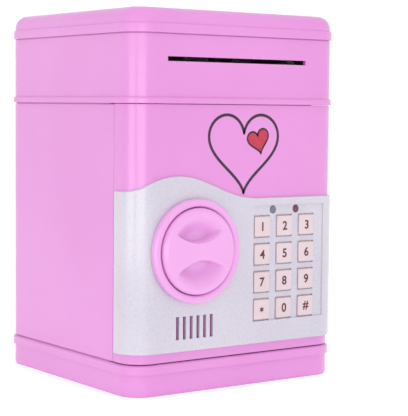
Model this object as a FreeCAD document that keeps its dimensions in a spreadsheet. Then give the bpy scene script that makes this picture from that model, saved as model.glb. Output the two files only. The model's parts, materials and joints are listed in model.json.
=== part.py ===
"""A toy safe coin bank: a plinth, a case with a hinged door, a note feeder in the head and a cap.

Frame: millimetres, +Z up, the origin in the middle of the underside, the door faces -Y and its hinge is at +X.
Sizes are cells of the sheet "Sizes"; every sub-part is an object of the document bound to those cells.
"""
import FreeCAD, Part
import math
import os
import re
import Sketcher

Vector = FreeCAD.Vector
doc = FreeCAD.newDocument("toy_safe")
sheet = doc.addObject("Spreadsheet::Sheet", "Sizes")
nodes = []

SIZES = [
    # the case
    ("case_wide", 130.0, "outside width of the walls, X"),
    ("case_deep", 127.0, "outside depth of the walls, Y"),
    ("case_high", 190.7, "from the table to the top of the cap"),
    ("corner", 12.0, "outside radius of the upright corners"),
    ("wall", 2.2, "thickness of the moulded walls"),
    ("gap", 0.3, "gap between pieces that move past each other"),
    ("bead", 1.0, "how far the two beads stand off the walls"),
    ("bead_slope", 0.6, "chamfer on the upper edge of the beads and of the cap's lip"),
    ("seam", 0.5, "depth and height of the shadow gap at each seam"),
    ("plinth_top", 15.9, "top of the plinth, where the lower seam is"),
    ("plinth_bead", 11.2, "lower edge of the plinth's bead"),
    ("head_base", 143.9, "underside of the head, where the upper seam is"),
    ("head_bead", 3.2, "height of the head's bead"),
    ("cap_base", 178.2, "lower edge of the cap"),
    ("lip_high", 4.8, "height of the cap's lip"),
    ("lip_proud", 0.8, "how far the cap's lip stands off the head"),
    ("crown_round", 6.8, "radius of the cap's upper edge"),
    ("base_plate_thick", 2.4, "thickness of the plate under the plinth"),
    ("ease", 0.1, "clearance of a piece that lies inside another"),
    # fasteners
    ("screw_head", 2.8, "radius of a screw's sunk head"),
    ("screw_sink", 3.0, "radius of the hole that a head is sunk in"),
    ("screw_shank", 1.5, "radius of a screw's shank"),
    ("sink_deep", 1.4, "depth of the hole that a head is sunk in"),
    ("head_below", 0.3, "how far a sunk head lies below the surface"),
    ("post_inset", 12.0, "distance of the base plate's posts from the walls"),
    ("post_radius", 3.2, "radius of the base plate's posts"),
    ("cover_inset", 16.0, "distance of the door cover's posts from the side walls"),
    ("cover_post", 3.0, "radius of the door cover's posts"),
    ("cover_shank", 1.2, "radius of a cover screw's shank"),
    # the slots for money
    ("note_left", -45.0, "left end of the note slot"),
    ("note_right", 42.0, "right end of the note slot"),
    ("note_level", 165.75, "height of the note slot's middle"),
    ("note_high", 2.3, "height of the note slot"),
    ("drop_front", -41.0, "front of the opening that a note falls through"),
    ("drop_back", -24.0, "back of the opening that a note falls through"),
    ("coin_long", 29.0, "length of the coin slot"),
    ("coin_wide", 3.2, "width of the coin slot"),
    ("coin_back", 14.0, "Y of the coin slot"),
    # the door and its hinge
    ("door_low", 16.4, "lower edge of the door"),
    ("door_top", 143.4, "upper edge of the door"),
    ("door_back", -46.4, "rear edge of the door's walls"),
    ("hinge_x", 61.8, "X of the hinge pin"),
    ("hinge_y", -46.2, "Y of the hinge pin"),
    ("barrel", 3.2, "outside radius of the hinge barrel"),
    ("barrel_free", 0.8, "room around the hinge barrel"),
    ("pin_radius", 1.0, "radius of the hinge pin"),
    ("knuckle_low", 30.0, "lower end of the lower case knuckle"),
    ("knuckle_high", 116.0, "lower end of the upper case knuckle"),
    ("knuckle_long", 14.0, "length of a case knuckle"),
    ("running", 0.05, "radial clearance of a running fit"),
    # the faceplate
    ("plate_proud", 1.4, "thickness of the faceplate"),
    ("plate_round", 0.5, "radius of the faceplate's outside edges"),
    ("plate_low", 21.2, "lower edge of the faceplate"),
    ("plate_left", 101.0, "height of the faceplate's top at the left"),
    ("plate_peak", 108.3, "height of the rise over the knob"),
    ("plate_right", 96.2, "height of the faceplate's top at the right"),
    ("peak_x", -36.5, "X of the rise"),
    ("plate_left_end", -48.5, "Y where the faceplate ends on the left"),
    ("plate_right_end", -50.9, "Y where the faceplate ends on the right"),
    # the knob and the lock
    ("strike_low", 58.0, "lower end of the strike plate"),
    ("strike_high", 84.0, "upper end of the strike plate"),
    ("knob_x", -29.3, "X of the knob's axis"),
    ("knob_z", 71.2, "Z of the knob's axis"),
    ("knob_radius", 21.4, "radius of the knob"),
    ("knob_deep", 6.6, "thickness of the knob's disc"),
    ("knob_lift", 0.4, "gap behind the knob's disc"),
    ("ring_radius", 26.0, "outside radius of the ring around the knob"),
    ("ring_deep", 3.8, "how far the ring stands off the faceplate"),
    ("grip_half", 3.8, "half the grip's thickness at its waist"),
    ("scoop_radius", 17.6, "radius that the finger scoops reach"),
    ("scoop_curve", 20.0, "radius of the grip's hollow flanks"),
    ("scoop_deep", 5.0, "depth of the finger scoops"),
    ("spindle", 5.0, "radius of the knob's spindle"),
    ("cam_radius", 12.0, "radius of the lock cam"),
    ("cam_front", -58.0, "front face of the lock cam"),
    ("cam_thick", 3.0, "thickness of the lock cam"),
    ("cam_shaft", 4.0, "radius of the shaft behind the cam"),
    ("tongue_front", -43.6, "front face of the latch tongue"),
    ("tongue_thick", 2.5, "thickness of the latch tongue"),
    ("tongue_reach", 31.5, "reach of the tongue from the knob's axis"),
    ("tongue_wide", 9.0, "width of the tongue"),
    ("plunger_radius", 2.0, "radius of the solenoid's plunger"),
    ("plunger_low", 83.9, "tip of the plunger when it is drawn in"),
    ("coil_low", 88.0, "underside of the solenoid"),
    ("coil_high", 110.0, "top of the solenoid"),
    ("spring_high", 5.0, "length of the plunger's spring"),
    # the keypad
    ("key_wide", 9.9, "width of a key"),
    ("key_high", 10.3, "height of a key"),
    ("key_column", 28.2, "X of the middle column of keys"),
    ("key_pitch_x", 14.7, "distance between the columns"),
    ("key_bottom", 38.6, "Z of the lowest row of keys"),
    ("key_pitch_z", 14.3, "distance between the rows"),
    ("key_proud", 1.0, "how far a key stands off the recess"),
    ("key_side_gap", 0.35, "gap at the left and right of a key"),
    ("key_end_gap", 0.7, "gap above and below a key"),
    ("key_flange", 1.3, "how far a key's flange reaches past its sides"),
    ("key_travel", 1.0, "travel of a key"),
    ("recess", 0.7, "depth of the recess around the keys"),
    ("led_level", 90.0, "Z of the two lamps"),
    ("led_radius", 2.1, "radius of a lamp"),
    ("board_thick", 1.6, "thickness of the circuit board"),
    # the speaker
    ("speaker_radius", 13.0, "radius of the speaker's rim"),
    ("slot_count", 6.0, "number of speaker slots"),
    ("slot_pitch", 4.12, "distance between the speaker slots"),
    ("slot_middle", -28.7, "X of the middle of the speaker slots"),
    ("slot_wide", 1.9, "width of a speaker slot"),
    ("slot_low", 27.3, "lower end of the speaker slots"),
    ("slot_high", 38.8, "upper end of the speaker slots"),
    # the note feeder
    ("feed_y", -48.0, "Y of both roller shafts"),
    ("feed_radius", 5.0, "radius of a feed roller"),
    ("pinch_radius", 4.0, "radius of a pinch roller"),
    ("nip", 0.15, "half the gap between the rollers"),
    ("shaft_radius", 1.5, "radius of both roller shafts"),
    ("gear_module", 0.6, "module of the two gears"),
    ("wheel_teeth", 22.0, "teeth on the feed gear"),
    ("pinion_teeth", 10.0, "teeth on the motor's pinion"),
    ("gear_left", 43.5, "left face of the gears"),
    ("gear_wide", 2.0, "face width of the gears"),
    ("bracket_left", -50.0, "outside face of the left bracket"),
    ("bracket_right", 48.4, "outside face of the right bracket"),
    ("bracket_thick", 2.0, "thickness of the brackets"),
    ("foot_long", 6.0, "length of a bracket's foot"),
    ("foot_thick", 1.6, "thickness of a bracket's foot"),
    ("tyre_middle", -2.0, "X of the middle tyre on a roller shaft"),
    ("tyre_pitch", 30.0, "distance between the tyres"),
    ("tyre_wide", 12.0, "width of a tyre"),
    ("axle_radius", 0.8, "radius of the motor's shaft"),
    ("backlash", 0.04, "play between the teeth of the two gears"),
    # the battery compartment
    ("hatch_screw", 21.0, "height of the hatch's screw above the middle cell"),
    ("cell_radius", 7.1, "radius of an AA cell"),
    ("cell_long", 50.0, "length of an AA cell"),
    ("cell_pitch", 15.2, "distance between the cells"),
    ("cell_level", 51.0, "Z of the middle cell"),
    ("cell_y", 52.6, "Y of the cells"),
    ("hatch_wide", 66.0, "width of the battery hatch"),
    ("hatch_high", 52.0, "height of the battery hatch"),
]


def fill_sheet():
    for row, (alias, number, meaning) in enumerate(SIZES, start=1):
        sheet.set("A%d" % row, alias)
        sheet.set("B%d" % row, str(number))
        sheet.set("C%d" % row, meaning)
        sheet.setAlias("B%d" % row, alias)
    doc.recompute()


def formula(text):
    """The text with every alias written as the sheet's own cell."""
    return re.sub(r"\b[a-z_]+\b", lambda word: "Sizes." + word.group(), str(text))


def size(text):
    """What a formula comes to now, for geometry that is built in this script's own code."""
    return float(sheet.evalExpression(formula(text)))


def bind(thing, **formulas):
    """Bind properties to formulas; a double underscore stands for the dot in Placement.Base.x."""
    for name, text in formulas.items():
        thing.setExpression(name.replace("__", "."), formula(text))
    return thing


def place(thing, x=0, y=0, z=0):
    return bind(thing, Placement__Base__x=x, Placement__Base__y=y, Placement__Base__z=z)


def node(thing, label):
    """Make this object a sub-part: its label is the name of its file."""
    thing.Label = label
    nodes.append(thing)
    return thing


# ---- Part primitives and booleans ----

def box(x, y, z):
    """A box between two formulas along each axis."""
    block = doc.addObject("Part::Box", "block")
    spans = ["(%s) - (%s)" % (high, low) for low, high in (x, y, z)]
    bind(block, Length=spans[0], Width=spans[1], Height=spans[2])
    return place(block, x[0], y[0], z[0])


TURN = {
    "x": FreeCAD.Rotation(Vector(0, 1, 0), 90),
    "y": FreeCAD.Rotation(Vector(1, 0, 0), -90),
    "z": FreeCAD.Rotation(),
}


def middle_span(middle, half):
    """The two ends of a span about a middle."""
    return "(%s) - (%s)" % (middle, half), "(%s) + (%s)" % (middle, half)


def rod(axis, radius, span, x=0, y=0, z=0):
    """A cylinder along an axis, from one formula to another, through the other two coordinates."""
    cylinder = doc.addObject("Part::Cylinder", "rod")
    cylinder.Placement.Rotation = TURN[axis]
    bind(cylinder, Radius=radius, Height="(%s) - (%s)" % (span[1], span[0]))
    start = {"x": x, "y": y, "z": z}
    start[axis] = span[0]
    return place(cylinder, **start)


def cone(axis, radius_low, radius_high, span, x=0, y=0, z=0):
    body = doc.addObject("Part::Cone", "cone")
    body.Placement.Rotation = TURN[axis]
    bind(body, Radius1=radius_low, Radius2=radius_high, Height="(%s) - (%s)" % (span[1], span[0]))
    start = {"x": x, "y": y, "z": z}
    start[axis] = span[0]
    return place(body, **start)


def fuse(*things):
    joined = doc.addObject("Part::MultiFuse", "joined")
    joined.Shapes = list(things)
    joined.Refine = True
    return joined


def group(*things):
    """Separate solids that share one node."""
    compound = doc.addObject("Part::Compound", "group")
    compound.Links = list(things)
    return compound


def cut(base, *tools):
    result = doc.addObject("Part::Cut", "cut")
    result.Base = base
    result.Tool = tools[0] if len(tools) == 1 else fuse(*tools)
    result.Refine = True
    return result


def common(*things):
    shared = doc.addObject("Part::MultiCommon", "shared")
    shared.Shapes = list(things)
    return shared


def rounded_edges(base, radius, choose):
    """A Part::Fillet on each edge that choose(edge) picks."""
    doc.recompute()
    fillet = doc.addObject("Part::Fillet", "fillet")
    fillet.Base = base
    picked = [index for index, edge in enumerate(base.Shape.Edges, start=1) if choose(edge)]
    fillet.Edges = [(index, size(radius), size(radius)) for index in picked]
    return fillet


def at_y(level):
    """Chooses the edges that lie in the plane Y = level."""
    def choose(edge):
        bounds = edge.BoundBox
        return abs(bounds.YMin - size(level)) < 1e-4 and abs(bounds.YMax - size(level)) < 1e-4
    return choose


def solid(label_hint, shape):
    feature = doc.addObject("Part::Feature", label_hint)
    feature.Shape = shape
    return feature


# ---- PartDesign bodies made from sketches ----

def origin_plane(body, role):
    return [feature for feature in body.Origin.OriginFeatures if feature.Role == role][0]


def new_sketch(body, role, level):
    sketch = body.newObject("Sketcher::SketchObject", "sketch")
    sketch.AttachmentSupport = [(origin_plane(body, role), "")]
    sketch.MapMode = "FlatFace"
    return bind(sketch, AttachmentOffset__Base__z=level)


def fix_point(sketch, geometry, point, x=None, y=None):
    """Hold one point of a sketch's line at formulas for its coordinates."""
    for kind, text in (("DistanceX", x), ("DistanceY", y)):
        if text is not None:
            index = sketch.addConstraint(Sketcher.Constraint(kind, -1, 1, geometry, point, size(text)))
            sketch.setExpression("Constraints[%d]" % index, formula(text))


def rounded_rectangle(sketch, x, y, radius):
    """Four lines and four tangent arcs between two formulas along each axis."""
    left, right = size(x[0]), size(x[1])
    low, high = size(y[0]), size(y[1])
    bend = size(radius)
    corners = [(right - bend, high - bend, 0), (left + bend, high - bend, 90),
               (left + bend, low + bend, 180), (right - bend, low + bend, 270)]
    arcs = []
    for centre_x, centre_y, start in corners:
        circle = Part.Circle(Vector(centre_x, centre_y, 0), Vector(0, 0, 1), bend)
        arc = Part.ArcOfCircle(circle, math.radians(start), math.radians(start + 90))
        arcs.append(sketch.addGeometry(arc, False))
    lines = []
    for first, second in ((0, 1), (1, 2), (2, 3), (3, 0)):
        start = sketch.getPoint(arcs[first], 2)
        end = sketch.getPoint(arcs[second], 1)
        lines.append(sketch.addGeometry(Part.LineSegment(start, end), False))
        sketch.addConstraint(Sketcher.Constraint("Tangent", arcs[first], 2, lines[-1], 1))
        sketch.addConstraint(Sketcher.Constraint("Tangent", lines[-1], 2, arcs[second], 1))
    top, side_left, bottom, side_right = lines
    for line in (top, bottom):
        sketch.addConstraint(Sketcher.Constraint("Horizontal", line))
    for line in (side_left, side_right):
        sketch.addConstraint(Sketcher.Constraint("Vertical", line))
    for arc in arcs[1:]:
        sketch.addConstraint(Sketcher.Constraint("Equal", arcs[0], arc))
    index = sketch.addConstraint(Sketcher.Constraint("Radius", arcs[0], bend))
    sketch.setExpression("Constraints[%d]" % index, formula(radius))
    fix_point(sketch, side_left, 1, x=x[0])
    fix_point(sketch, side_right, 1, x=x[1])
    fix_point(sketch, bottom, 1, y=y[0])
    fix_point(sketch, top, 1, y=y[1])


def polygon(sketch, points):
    """A closed outline of straight lines through points given as pairs of formulas."""
    places = [Vector(size(x), size(y), 0) for x, y in points]
    lines = []
    for start, end in zip(places, places[1:] + places[:1]):
        lines.append(sketch.addGeometry(Part.LineSegment(start, end), False))
    for line, following in zip(lines, lines[1:] + lines[:1]):
        sketch.addConstraint(Sketcher.Constraint("Coincident", line, 2, following, 1))
    for line, (x, y) in zip(lines, points):
        fix_point(sketch, line, 1, x=x, y=y)


def pad(body, sketch, length):
    feature = body.newObject("PartDesign::Pad", "pad")
    feature.Profile = sketch
    return bind(feature, Length=length)


def pocket_up(body, sketch, length):
    """A pocket that cuts towards the sketch's positive side."""
    feature = body.newObject("PartDesign::Pocket", "pocket")
    feature.Profile = sketch
    feature.Reversed = True
    return bind(feature, Length=length)


def rectangle(sketch, x, y):
    polygon(sketch, [(x[0], y[0]), (x[1], y[0]), (x[1], y[1]), (x[0], y[1])])


def soften(body, radius, choose):
    """A PartDesign::Fillet on each edge of the body so far that choose(edge) picks."""
    doc.recompute()
    base = body.Tip
    names = ["Edge%d" % index for index, edge in enumerate(base.Shape.Edges, start=1) if choose(edge)]
    fillet = body.newObject("PartDesign::Fillet", "soft_edges")
    fillet.Base = (base, names)
    return bind(fillet, Radius=radius)


def sloped(body, choose):
    """A PartDesign::Chamfer of the beads' slope on each edge of the body so far that choose(edge) picks."""
    doc.recompute()
    base = body.Tip
    names = ["Edge%d" % index for index, edge in enumerate(base.Shape.Edges, start=1) if choose(edge)]
    chamfer = body.newObject("PartDesign::Chamfer", "slope")
    chamfer.Base = (base, names)
    return bind(chamfer, Size="bead_slope")


def new_body(hint):
    return doc.addObject("PartDesign::Body", hint)


def around(offset):
    """The case's outline grown by an offset: its X span, its Y span and its corner radius."""
    half_wide = "case_wide / 2 + (%s)" % offset
    half_deep = "case_deep / 2 + (%s)" % offset
    x = ("-(%s)" % half_wide, half_wide)
    y = ("-(%s)" % half_deep, half_deep)
    return x, y, "corner + (%s)" % offset


def beyond(edge, offset):
    """True if an edge's middle lies on or outside the case's outline grown by an offset."""
    middle = edge.valueAt((edge.FirstParameter + edge.LastParameter) / 2)
    past_x = max(abs(middle.x) - size("case_wide / 2 - corner"), 0)
    past_y = max(abs(middle.y) - size("case_deep / 2 - corner"), 0)
    return math.hypot(past_x, past_y) > size("corner + (%s)" % offset) - 0.01


def round_the_case(offset, level):
    """Chooses the edges that run round the case at a height, on its outline grown by an offset."""
    def choose(edge):
        bounds = edge.BoundBox
        flat = abs(bounds.ZMin - size(level)) < 1e-4 and abs(bounds.ZMax - size(level)) < 1e-4
        return flat and beyond(edge, offset)
    return choose


def prism(body, offset, low, high, cutter=False):
    """Pad, or cut, the case's outline grown by an offset between two heights."""
    sketch = new_sketch(body, "XY_Plane", low)
    rounded_rectangle(sketch, *around(offset))
    make = pocket_up if cutter else pad
    return make(body, sketch, "(%s) - (%s)" % (high, low))


def bored(body, x, y, low, high):
    """Cut a rectangular opening through a horizontal wall."""
    sketch = new_sketch(body, "XY_Plane", low)
    rectangle(sketch, x, y)
    return pocket_up(body, sketch, "(%s) - (%s)" % (high, low))


# ---- the plinth ----

def make_plinth():
    body = new_body("plinth_body")
    prism(body, "-0.4", "0", "1.2")
    prism(body, "0", "1.2", "plinth_top")
    prism(body, "bead", "plinth_bead", "plinth_top - 0.2")
    sloped(body, round_the_case("bead", "plinth_top - 0.2"))
    prism(body, "-wall", "0", "plinth_top - wall", cutter=True)
    return node(body, "plinth")


def make_base_plate():
    body = new_body("base_plate_body")
    prism(body, "-wall - ease", "0", "base_plate_thick")
    posts = [rod("z", "post_radius", ("base_plate_thick", "plinth_top - wall"), x, y)
             for x, y in post_places()]
    bores = [rod("z", "screw_shank", ("0", "plinth_top - wall"), x, y) for x, y in post_places()]
    heads = [rod("z", "screw_sink", ("0", "sink_deep"), x, y) for x, y in post_places()]
    return node(cut(fuse(body, *posts), *bores, *heads), "base_plate")


def post_places():
    """Where the four screw posts stand."""
    x, y = "case_wide / 2 - post_inset", "case_deep / 2 - post_inset"
    return [(x, y), ("-(%s)" % x, y), (x, "-(%s)" % y), ("-(%s)" % x, "-(%s)" % y)]


def make_base_screws():
    screws = []
    for x, y in post_places():
        head = rod("z", "screw_head", ("head_below", "sink_deep"), x, y)
        shank = rod("z", "screw_shank", ("sink_deep", "plinth_top - wall"), x, y)
        screws.append(cut(fuse(head, shank), cross_recess(x, y)))
    return node(group(*screws), "base_screws")


def cross_recess(x, y):
    """The crossed slots in the head of a screw that is driven upwards."""
    span = ("head_below", "sink_deep / 2 + head_below")
    long, thin = "screw_head * 4 / 7", "0.3"
    one = box(middle_span(x, long), middle_span(y, thin), span)
    two = box(middle_span(x, thin), middle_span(y, long), span)
    return fuse(one, two)


# ---- the case ----

def make_body_shell():
    """Back and side walls with the chamber's floor, open at the front and the top."""
    body = new_body("body_shell_body")
    prism(body, "-seam", "plinth_top", "head_base")
    prism(body, "0", "plinth_top + seam", "head_base - seam")
    prism(body, "-wall", "plinth_top + wall", "head_base", cutter=True)
    wide = ("-case_wide", "case_wide")
    bored(body, wide, ("-case_deep", "hinge_y + barrel + barrel_free"), "plinth_top", "head_base")
    hatch = battery_hatch("2 * ease")
    left_edge = box(("-case_wide / 2", "-case_wide / 2 + wall"),
                    ("door_back + gap", "hinge_y + barrel + barrel_free + 0.2"),
                    ("plinth_top + seam", "head_base - seam"))
    return node(cut(fuse(body, left_edge, *knuckles()), hatch, pin_bore("pin_radius")), "body_shell")


def knuckles():
    """The two hinge knuckles on the case, each a barrel on a web from the side wall."""
    blocks = []
    for low in ("knuckle_low", "knuckle_high"):
        span = (low, low + " + knuckle_long")
        blocks.append(rod("z", "barrel", span, "hinge_x", "hinge_y"))
        blocks.append(box(("case_wide / 2 - wall", "case_wide / 2"),
                          ("hinge_y", "hinge_y + barrel + barrel_free + 0.2"), span))
    return blocks


def pin_bore(radius):
    return rod("z", radius, ("door_low - 1", "door_top + 1"), "hinge_x", "hinge_y")


def make_strike():
    """The rib on the left wall that the latch tongue turns behind."""
    back = "door_back + gap + 2"
    wall_face = "-case_wide / 2 + wall"
    height = ("strike_low", "strike_high")
    rib = box((wall_face, wall_face + " + 5.3"), ("door_back + gap", back), height)
    foot = box((wall_face, wall_face + " + 1.4"), (back, back + " + 9"), height)
    return node(fuse(rib, foot), "strike_plate")


def make_hinge_pin():
    pin = rod("z", "pin_radius", ("door_low + 0.2", "door_top - 0.2"), "hinge_x", "hinge_y")
    return node(pin, "hinge_pin")


# ---- the battery compartment on the back ----

def battery_hatch(margin):
    """The hatch's block through the back wall, grown by a margin on every side."""
    return box(("-hatch_wide / 2 - %s" % margin, "hatch_wide / 2 + %s" % margin),
               ("case_deep / 2 - wall - 0.01", "case_deep / 2 + 0.01"),
               ("cell_level - hatch_high / 2 - %s" % margin, "cell_level + hatch_high / 2 + %s" % margin))


def make_battery_box():
    front = "cell_y - cell_radius - 2"
    half_high = "hatch_high / 2 + 3"
    outer = box(("-hatch_wide / 2 - 3", "hatch_wide / 2 + 3"), (front, "case_deep / 2 - wall"),
                ("cell_level - (%s)" % half_high, "cell_level + (%s)" % half_high))
    inner = box(("-hatch_wide / 2 + 2", "hatch_wide / 2 - 2"), (front + " + 1.6", "case_deep / 2 - wall"),
                ("cell_level - hatch_high / 2 + 2", "cell_level + hatch_high / 2 - 2"))
    return node(cut(outer, inner), "battery_box")


def make_battery_cover():
    plate = box(("-hatch_wide / 2", "hatch_wide / 2"), ("case_deep / 2 - wall", "case_deep / 2"),
                ("cell_level - hatch_high / 2", "cell_level + hatch_high / 2"))
    grips = [box(("-10", "10"), ("case_deep / 2 - 0.8", "case_deep / 2"), (level, level + " + 1"))
             for level in ("cell_level - 20", "cell_level - 17", "cell_level - 14")]
    level = "cell_level + hatch_screw"
    screw = rod("y", "screw_shank", ("case_deep / 2 - wall", "case_deep / 2"), z=level)
    sink = rod("y", "screw_sink", ("case_deep / 2 - sink_deep", "case_deep / 2"), z=level)
    return node(cut(plate, screw, sink, *grips), "battery_cover")


def make_battery_screw():
    level = "cell_level + hatch_screw"
    head = rod("y", "screw_head", ("case_deep / 2 - sink_deep", "case_deep / 2 - head_below"), z=level)
    shank = rod("y", "screw_shank", ("case_deep / 2 - wall", "case_deep / 2 - sink_deep"), z=level)
    slot = box(("-2", "2"), ("case_deep / 2 - 0.9", "case_deep / 2"), middle_span(level, "0.35"))
    return node(cut(fuse(head, shank), slot), "battery_screw")


def make_cells():
    for number in (1, 2, 3):
        level = "cell_level + cell_pitch * %d" % (2 - number)
        can = rod("x", "cell_radius", ("-cell_long / 2 + 0.5", "cell_long / 2 - 1"), y="cell_y", z=level)
        tip = rod("x", "2.7", ("cell_long / 2 - 1", "cell_long / 2 + 0.3"), y="cell_y", z=level)
        node(fuse(can, tip), "battery_cell_%d" % number)


def make_battery_contacts():
    """A leaf at each end of the three cells, folded back to the wall of the box."""
    strips = []
    for side in ("-", ""):
        wall_face = "%s(hatch_wide / 2 - 2)" % side
        tip = "%s(cell_long / 2 + 0.5)" % side
        near, far = (wall_face, tip) if side else (tip, wall_face)
        for number in (-1, 0, 1):
            level = "cell_level + cell_pitch * %d" % number
            z = (level + " - 4", level + " + 4")
            leaf = box((near, far), ("cell_y - 4", "cell_y + 4"), z)
            hollow = box((near + " + 0.4", far + " - 0.4"), ("cell_y - 4", "cell_y + 3.6"), z)
            strips.append(cut(leaf, hollow))
    return node(group(*strips), "battery_contacts")


# ---- the head, the cap and the money's way down ----

def make_head_housing():
    body = new_body("head_body")
    prism(body, "-seam", "head_base", "cap_base")
    prism(body, "0", "head_base", "cap_base - seam")
    prism(body, "bead", "head_base + 0.2", "head_base + head_bead")
    sloped(body, round_the_case("bead", "head_base + head_bead"))
    prism(body, "-wall", "head_base + wall", "cap_base", cutter=True)
    bored(body, ("note_left - 1", "note_right + 1"), ("drop_front", "drop_back"),
          "head_base", "head_base + wall")
    bored(body, ("-coin_long / 2 - gap", "coin_long / 2 + gap"),
          ("coin_back - coin_wide / 2 - gap", "coin_back + coin_wide / 2 + gap"),
          "head_base", "head_base + wall")
    sketch = new_sketch(body, "XZ_Plane", "case_deep / 2 + 1")
    rectangle(sketch, ("note_left", "note_right"),
              ("note_level - note_high / 2", "note_level + note_high / 2"))
    slot = body.newObject("PartDesign::Pocket", "note_slot")
    slot.Profile = sketch
    bind(slot, Length="wall + 2")
    return node(body, "head_housing")


def make_top_cap():
    body = new_body("cap_body")
    prism(body, "0", "cap_base", "case_high")
    soften(body, "crown_round", lambda edge: edge.BoundBox.ZMin > size("case_high") - 0.01)
    prism(body, "lip_proud", "cap_base", "cap_base + lip_high")
    sloped(body, round_the_case("lip_proud", "cap_base + lip_high"))
    prism(body, "-wall - 4.6", "cap_base", "case_high - wall", cutter=True)
    prism(body, "-wall", "cap_base", "cap_base + lip_high", cutter=True)
    bored(body, ("-coin_long / 2", "coin_long / 2"),
          ("coin_back - coin_wide / 2", "coin_back + coin_wide / 2"), "case_high - wall", "case_high")
    return node(body, "top_cap")


def make_coin_chute():
    """A flat tube that leads a coin from the cap through the head."""
    def tube(grow, low, high):
        return box(("-coin_long / 2 - %s" % grow, "coin_long / 2 + %s" % grow),
                   ("coin_back - coin_wide / 2 - %s" % grow, "coin_back + coin_wide / 2 + %s" % grow),
                   (low, high))
    low, high = "head_base + wall", "case_high - wall"
    walls = tube("1.5", low, high)
    feet = box(("-coin_long / 2 - 6", "coin_long / 2 + 6"), ("coin_back - 6", "coin_back + 6"),
               (low, low + " + 1.5"))
    return node(cut(fuse(walls, feet), tube("0.3", low, high)), "coin_chute")


# ---- the note feeder ----

FEED_LEVEL = "note_level - feed_radius - nip"
PINCH_LEVEL = "note_level + pinch_radius + nip"
MOTOR_Y = "feed_y + gear_module * (wheel_teeth + pinion_teeth) / 2"


def make_slot_throat():
    """Two lips behind the slot that lead a note to the rollers."""
    y = ("-case_deep / 2 + wall", "feed_y - feed_radius - 1")
    block = box(("note_left - 1.4", "note_right + 1"), y, ("note_level - 3.4", "note_level + 3.4"))
    way = box(("note_left", "note_right"), y, ("note_level - 1.6", "note_level + 1.6"))
    return node(cut(block, way), "slot_throat")


def make_note_guide():
    """A hooked plate behind the rollers that turns a note down through the floor."""
    hook = "drop_back + 2"
    body = new_body("note_guide_body")
    sketch = new_sketch(body, "YZ_Plane", "note_left - 1")
    polygon(sketch, [
        (hook, "head_base + wall"), (hook + " + 1.2", "head_base + wall"),
        (hook + " + 1.2", "note_level - 2"), ("drop_back - 9", "note_level + 8"),
        ("drop_back - 10", "note_level + 7"), (hook, "note_level - 2.5"),
    ])
    pad(body, sketch, "note_right - note_left + 2")
    foot = box(("note_left - 1", "note_right + 1"), (hook + " + 1.2", hook + " + 7"),
               ("head_base + wall", "head_base + wall + 1.2"))
    return node(fuse(body, foot), "note_guide")


def bracket_blank(inner_face, outer_face):
    plate = box((inner_face, outer_face), ("feed_y - 9", MOTOR_Y + " + 7"),
                ("head_base + wall", "note_level + 10"))
    shafts = [rod("x", "shaft_radius + running", (inner_face, outer_face), y="feed_y", z=level)
              for level in (FEED_LEVEL, PINCH_LEVEL)]
    return cut(plate, *shafts)


def make_brackets():
    low = "head_base + wall"
    left = bracket_blank("bracket_left", "bracket_left + bracket_thick")
    left_foot = box(("bracket_left - foot_long", "bracket_left"), ("feed_y - 9", MOTOR_Y + " + 7"),
                    (low, low + " + foot_thick"))
    node(fuse(left, left_foot), "left_bracket")
    right = bracket_blank("bracket_right - bracket_thick", "bracket_right")
    right_foot = box(("bracket_right", "bracket_right + foot_long"), ("feed_y - 9", MOTOR_Y + " + 7"),
                     (low, low + " + foot_thick"))
    shaft_hole = rod("x", "2.2", ("bracket_right - bracket_thick", "bracket_right"),
                     y=MOTOR_Y, z=FEED_LEVEL)
    node(cut(fuse(right, right_foot), shaft_hole), "right_bracket")


def roller_shaft(level, label):
    shaft = rod("x", "shaft_radius", ("bracket_left - 1", "bracket_right + 1"), y="feed_y", z=level)
    return node(shaft, label)


def rollers(radius, level, label):
    """Three rubber tyres along a shaft."""
    tyres = []
    for step in (-1, 0, 1):
        span = middle_span("tyre_middle + tyre_pitch * (%d)" % step, "tyre_wide / 2")
        tyre = rod("x", radius, span, y="feed_y", z=level)
        bore = rod("x", "shaft_radius", span, y="feed_y", z=level)
        tyres.append(cut(tyre, bore))
    return node(group(*tyres), label)


def involute_gear(teeth, bore, turn):
    """A spur gear about +X through the origin: an involute outline, extruded across the face."""
    module = size("gear_module")
    pressure = math.radians(20)
    pitch_radius = module * teeth / 2
    base_radius = pitch_radius * math.cos(pressure)
    tip_radius = pitch_radius + 0.95 * module
    root_radius = pitch_radius - 1.3 * module
    involute = math.tan(pressure) - pressure
    half_tooth = math.pi / (2 * teeth) - size("backlash") / pitch_radius

    def flank(radius):
        """The half angle of a tooth at a radius outside the base circle."""
        roll = math.acos(min(1.0, base_radius / radius))
        return half_tooth + involute - (math.tan(roll) - roll)

    start = max(base_radius, root_radius)
    steps = [start + (tip_radius - start) * step / 6 for step in range(7)]
    outline = []
    for tooth in range(teeth):
        middle = turn + 2 * math.pi * tooth / teeth
        side = [(root_radius, -flank(start))] if root_radius < start else []
        side += [(radius, -flank(radius)) for radius in steps]
        side += [(radius, -angle) for radius, angle in reversed(side)]
        outline += [Vector(0, radius * math.cos(middle + angle), radius * math.sin(middle + angle))
                    for radius, angle in side]
    wire = Part.makePolygon(outline + outline[:1])
    wheel = Part.Face(wire).extrude(Vector(size("gear_wide"), 0, 0))
    return wheel.cut(Part.makeCylinder(bore, size("gear_wide"), Vector(), Vector(1, 0, 0)))


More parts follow.
